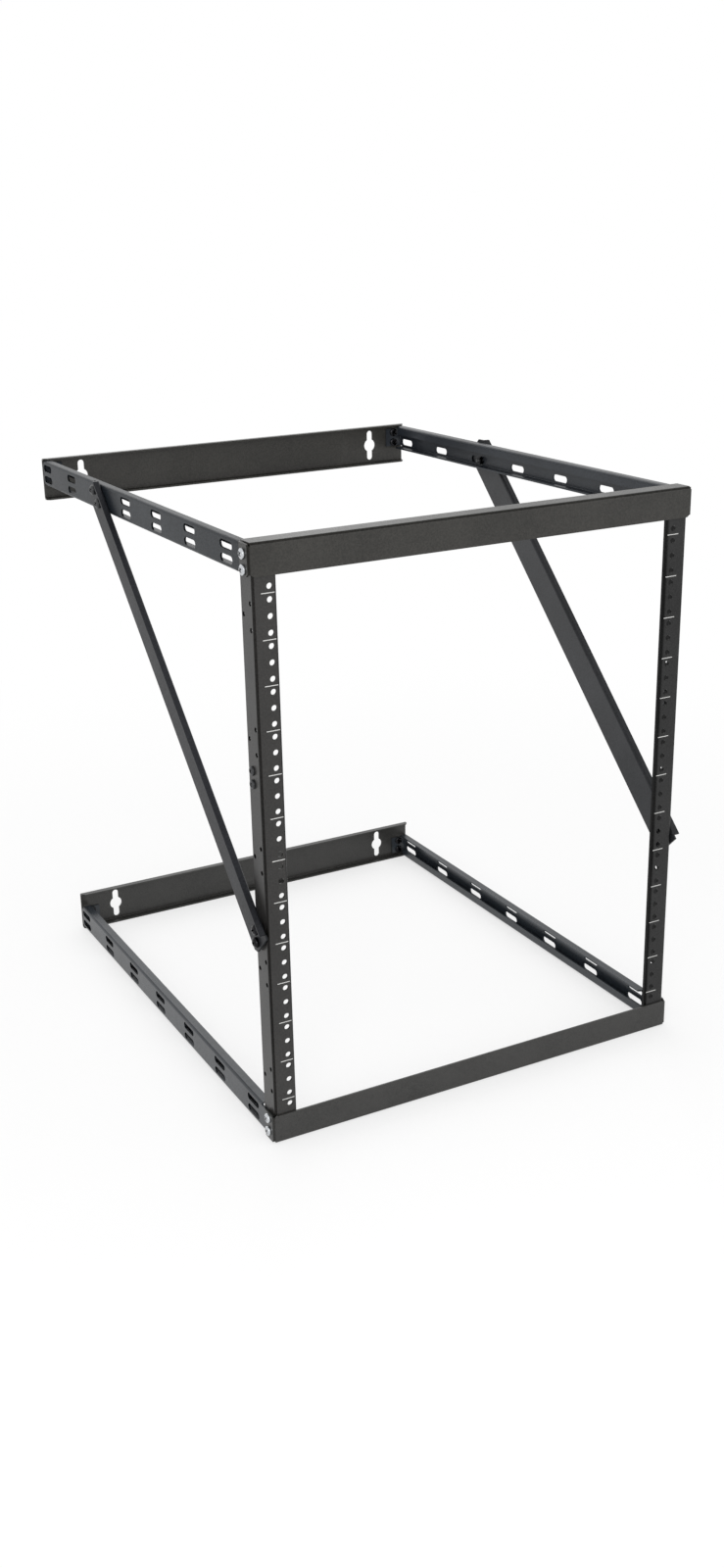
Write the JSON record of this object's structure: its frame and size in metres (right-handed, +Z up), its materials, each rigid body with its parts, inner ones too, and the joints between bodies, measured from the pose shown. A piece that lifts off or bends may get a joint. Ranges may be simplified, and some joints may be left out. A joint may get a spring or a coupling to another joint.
{
  "type": "two post open frame rack",
  "caption": "Open frame wall rack of folded sheet steel: drilled posts with flanged rails, slotted arms, keyhole rails at the back and diagonal side braces.",
  "frame": {"origin": "centre of the footprint, on the plane the bottom frame stands on", "axes": "+X to the right seen from the front, +Y back towards the wall, +Z up"},
  "size_m": [0.52, 0.6114, 0.6313],
  "materials": {
    "black_powder_coat": "fine textured powder coat",
    "blackened_steel": "satin black screws and nuts",
    "zinc_steel": "bright zinc plated screws and nuts"
  },
  "bodies": {
    "root": {"top_front_rail": "black_powder_coat", "bottom_front_rail": "black_powder_coat", "left_post": "black_powder_coat", "right_post": "black_powder_coat", "top_left_arm": "black_powder_coat", "top_right_arm": "black_powder_coat", "bottom_left_arm": "black_powder_coat", "bottom_right_arm": "black_powder_coat", "top_wall_rail": "black_powder_coat", "bottom_wall_rail": "black_powder_coat", "left_brace": "black_powder_coat", "right_brace": "black_powder_coat", "top_left_corner_screws": "zinc_steel", "top_right_corner_screws": "zinc_steel", "bottom_left_corner_screws": "zinc_steel", "bottom_right_corner_screws": "zinc_steel", "top_left_corner_nuts": "zinc_steel", "top_right_corner_nuts": "zinc_steel", "bottom_left_corner_nuts": "zinc_steel", "bottom_right_corner_nuts": "zinc_steel", "left_brace_arm_screws": "blackened_steel", "right_brace_arm_screws": "blackened_steel", "left_brace_arm_nuts": "blackened_steel", "right_brace_arm_nuts": "blackened_steel", "left_brace_post_screws": "blackened_steel", "right_brace_post_screws": "blackened_steel", "left_brace_post_nuts": "blackened_steel", "right_brace_post_nuts": "blackened_steel", "left_brace_spacers": "black_powder_coat", "right_brace_spacers": "black_powder_coat", "left_spare_screws": "blackened_steel", "right_spare_screws": "blackened_steel", "top_left_rear_screws": "blackened_steel", "top_right_rear_screws": "blackened_steel", "bottom_left_rear_screws": "blackened_steel", "bottom_right_rear_screws": "blackened_steel"}
  },
  "joints": []
}
